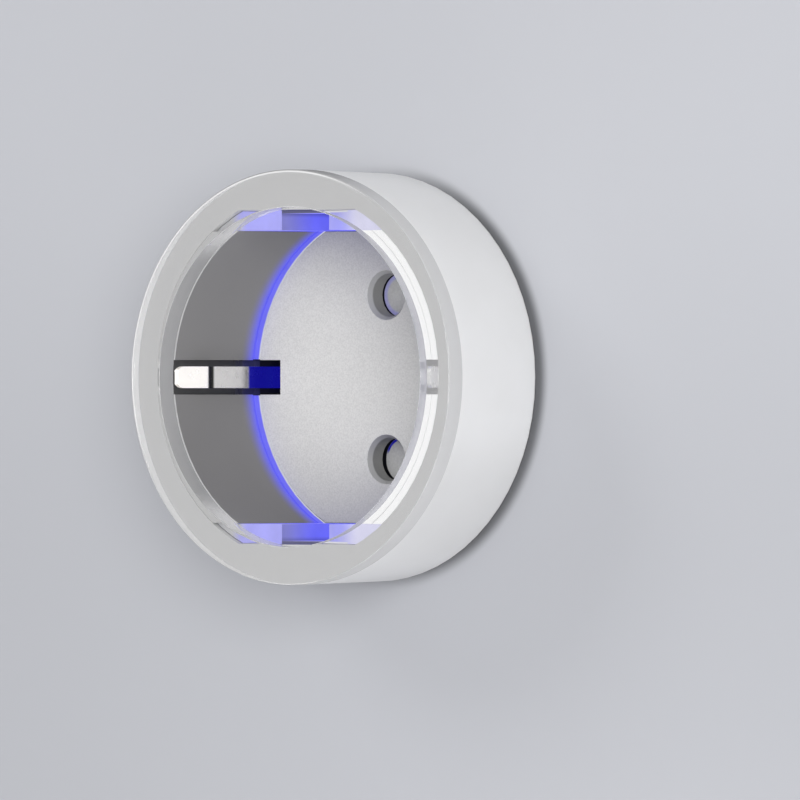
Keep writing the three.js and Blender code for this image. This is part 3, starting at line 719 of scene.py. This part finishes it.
for node_name, node in NODES.items():
    paint(node, FINISH[node_name])
    soften(node, THIN_EDGE_WIDTH if node_name in THIN_EDGED else EDGE_WIDTH)


# ------------------------------------------------------------ the clear ring, built here

def link(name, data):
    """Puts a new object, with its mesh, light or camera, into the scene."""
    obj = bpy.data.objects.new(name, data)
    bpy.context.scene.collection.objects.link(obj)
    return obj


def object_from(name, bm, material):
    mesh = bpy.data.meshes.new(name)
    bm.to_mesh(mesh)
    bm.free()
    mesh.materials.append(material)
    return link(name, mesh)


def on_circle(step, steps):
    """Cosine and sine of one of the equal steps round the plug's axis."""
    angle = 2 * math.pi * step / steps
    return math.cos(angle), math.sin(angle)


def lathe(name, profile, segments, material):
    """A ring of revolution round the plug's axis from a closed profile of (radius, y) points."""
    bm = bmesh.new()
    rows = []
    for i in range(segments):
        c, s = on_circle(i, segments)
        rows.append([bm.verts.new((r * c, y, r * s)) for r, y in profile])
    count = len(profile)
    for i in range(segments):
        here, after = rows[i], rows[(i + 1) % segments]
        for j in range(count):
            k = (j + 1) % count
            bm.faces.new((here[j], here[k], after[k], after[j]))
    bmesh.ops.recalc_face_normals(bm, faces=bm.faces)
    obj = object_from(name, bm, material)
    for face in obj.data.polygons:
        face.use_smooth = True
    return obj


def corner(centre_r, centre_y, radius, start, steps):
    """Points of a rounded corner, a quarter turn from the start angle; 0 degrees is outwards."""
    points = []
    for i in range(steps + 1):
        angle = math.radians(start + 90 * i / steps)
        points.append((centre_r + radius * math.cos(angle), centre_y + radius * math.sin(angle)))
    return points


def clear_ring():
    """The lens ring with rounded edges, its back 0.01 mm off the flange."""
    outer = 0.18 * MM
    inner = 0.12 * MM
    back = 0.02 * MM
    back_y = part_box("front_shell")[0].y - 0.01 * MM
    profile = [
        *corner(RECESS_R + back, back_y - back, back, 90, 3),
        *corner(RECESS_R + inner, FRONT_Y + inner, inner, 180, 6),
        *corner(RING_R - outer, FRONT_Y + outer, outer, 270, 14),
        *corner(RING_R - back, back_y - back, back, 0, 3),
    ]
    ring = lathe("clear_ring", profile, 320, CLEAR)
    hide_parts("lens_ring")
    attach(ring, "housing")


clear_ring()


# ------------------------------------------------------------ stage, light and camera

STAGE_NOISE = 60 * MM
PANEL_Y = DRUM_BACK_Y + 0.8 * MM
PANEL_OPENING_R = 22.3 * MM
CENTRE = Vector((0, -0.03, 0))
LIGHT_DISTANCE = 0.9


def panel_paint():
    """Matt wall paint: darker downwards, with the plug's contact shadow. Invisible from behind."""
    g = Graph("panel_paint")
    color = (0.565, 0.575, 0.61)
    at = g.place()
    mottle = g.spread(g.noise(at.point, STAGE_NOISE, detail=3), 0.0, 1.0)
    tint = g.mix(mottle, tuple(c * 0.985 for c in color), color)
    tint = g.mix(g.ramp(at.z, -25 * MM, 32 * MM), g.mix(0.10, tint, (0.0, 0.0, 0.0)), tint)
    shadow = g.times(g.ramp(at.radius, 24.9 * MM, 23.3 * MM), g.ramp(at.x, -4 * MM, 16 * MM))
    tint = g.mix(shadow, tint, tuple(c * 0.35 for c in color))
    shader = g.surface(Base_Color=tint, Roughness=0.7, Specular_IOR_Level=0.2)
    clear = g.add("ShaderNodeBsdfTransparent")
    behind = g.add("ShaderNodeNewGeometry").outputs["Backfacing"]
    both = g.add("ShaderNodeMixShader", {0: behind, 1: shader.outputs[0], 2: clear.outputs[0]})
    return g.finish(both)


def floor_paint():
    """A grey backdrop with a glow of its own, so that it stays even where no light falls."""
    g = Graph("floor_paint")
    color = (0.16, 0.16, 0.165)
    mottle = g.spread(g.noise(g.place().point, STAGE_NOISE, detail=3), 0.0, 1.0)
    shader = g.surface(
        Base_Color=g.mix(mottle, tuple(c * 0.985 for c in color), color),
        Roughness=0.7,
        Specular_IOR_Level=0.2,
        Emission_Color=g.mix(mottle, (0.40, 0.40, 0.41), (0.42, 0.42, 0.43)),
        Emission_Strength=1.0,
    )
    return g.finish(shader)


def outlet_panel():
    """A plain wall panel that the plug is pushed up to, with a round opening behind the drum."""
    half = 0.9
    steps = 128
    bm = bmesh.new()
    inner = []
    outer = []
    for i in range(steps):
        c, s = on_circle(i, steps)
        reach = half / max(abs(c), abs(s))
        inner.append(bm.verts.new((PANEL_OPENING_R * c, PANEL_Y, PANEL_OPENING_R * s)))
        outer.append(bm.verts.new((reach * c, PANEL_Y, reach * s)))
    for i in range(steps):
        j = (i + 1) % steps
        bm.faces.new((inner[i], outer[i], outer[j], inner[j]))
    bmesh.ops.recalc_face_normals(bm, faces=bm.faces)
    bm.normal_update()
    if bm.faces[0].normal.y > 0:
        bmesh.ops.reverse_faces(bm, faces=bm.faces)
    object_from("outlet_panel", bm, panel_paint())


def studio_floor():
    reach = 9.0
    z = -0.15
    corners = [(-reach, -reach, z), (reach, -reach, z), (reach, reach, z), (-reach, reach, z)]
    mesh = bpy.data.meshes.new("studio_floor")
    mesh.from_pydata(corners, [], [(0, 1, 2, 3)])
    mesh.materials.append(floor_paint())
    link("studio_floor", mesh)


def seen_from(azimuth, elevation):
    """The direction from the plug to a viewer or a light."""
    a, e = math.radians(azimuth), math.radians(elevation)
    return Vector((math.sin(a) * math.cos(e), -math.cos(a) * math.cos(e), math.sin(e)))


def softbox(name, place, size, power):
    """A round light that shines at the middle of the plug."""
    light = bpy.data.lights.new(name, "AREA")
    light.shape = "DISK"
    light.size = size
    light.energy = power
    obj = link(name, light)
    obj.location = place
    obj.rotation_mode = "QUATERNION"
    obj.rotation_quaternion = (CENTRE - place).to_track_quat("-Z", "Y")
    obj.visible_camera = False


def world(strength):
    """White light from all round."""
    made = bpy.data.worlds.new("studio")
    bpy.context.scene.world = made
    made.use_nodes = True
    back = made.node_tree.nodes["Background"]
    back.inputs[0].default_value = (1.0, 1.0, 1.0, 1.0)
    back.inputs[1].default_value = strength


def camera():
    """A very long lens level with the plug, its aim set to the right of and below the ring."""
    azimuth = math.radians(39.7)
    span = 91.85 * MM
    right = 12.78 * MM
    down = 2.63 * MM
    data = bpy.data.cameras.new("camera")
    data.sensor_width = 36
    data.lens = 800
    data.clip_start = 0.05
    data.clip_end = 60
    across = Vector((math.cos(azimuth), math.sin(azimuth), 0))
    back = Vector((math.sin(azimuth), -math.cos(azimuth), 0))
    aim = Vector((0, FRONT_Y, 0)) + across * right - Vector((0, 0, down))
    obj = link("camera", data)
    obj.location = aim + back * (span * data.lens / data.sensor_width)
    obj.rotation_mode = "QUATERNION"
    obj.rotation_quaternion = (-back).to_track_quat("-Z", "Y")
    bpy.context.scene.camera = obj


outlet_panel()
studio_floor()
world(strength=0.54)
softbox("key", CENTRE + seen_from(44, 6) * LIGHT_DISTANCE, size=0.5, power=4.3)
softbox("side", CENTRE + seen_from(-48, 38) * LIGHT_DISTANCE, size=0.4, power=1.6)
softbox("low", Vector((0.04, -0.07, -0.13)), size=0.1, power=0.034)
softbox("rear", CENTRE + seen_from(165, 30) * LIGHT_DISTANCE, size=0.6, power=1.1)
camera()
bpy.context.scene.view_settings.view_transform = "Standard"
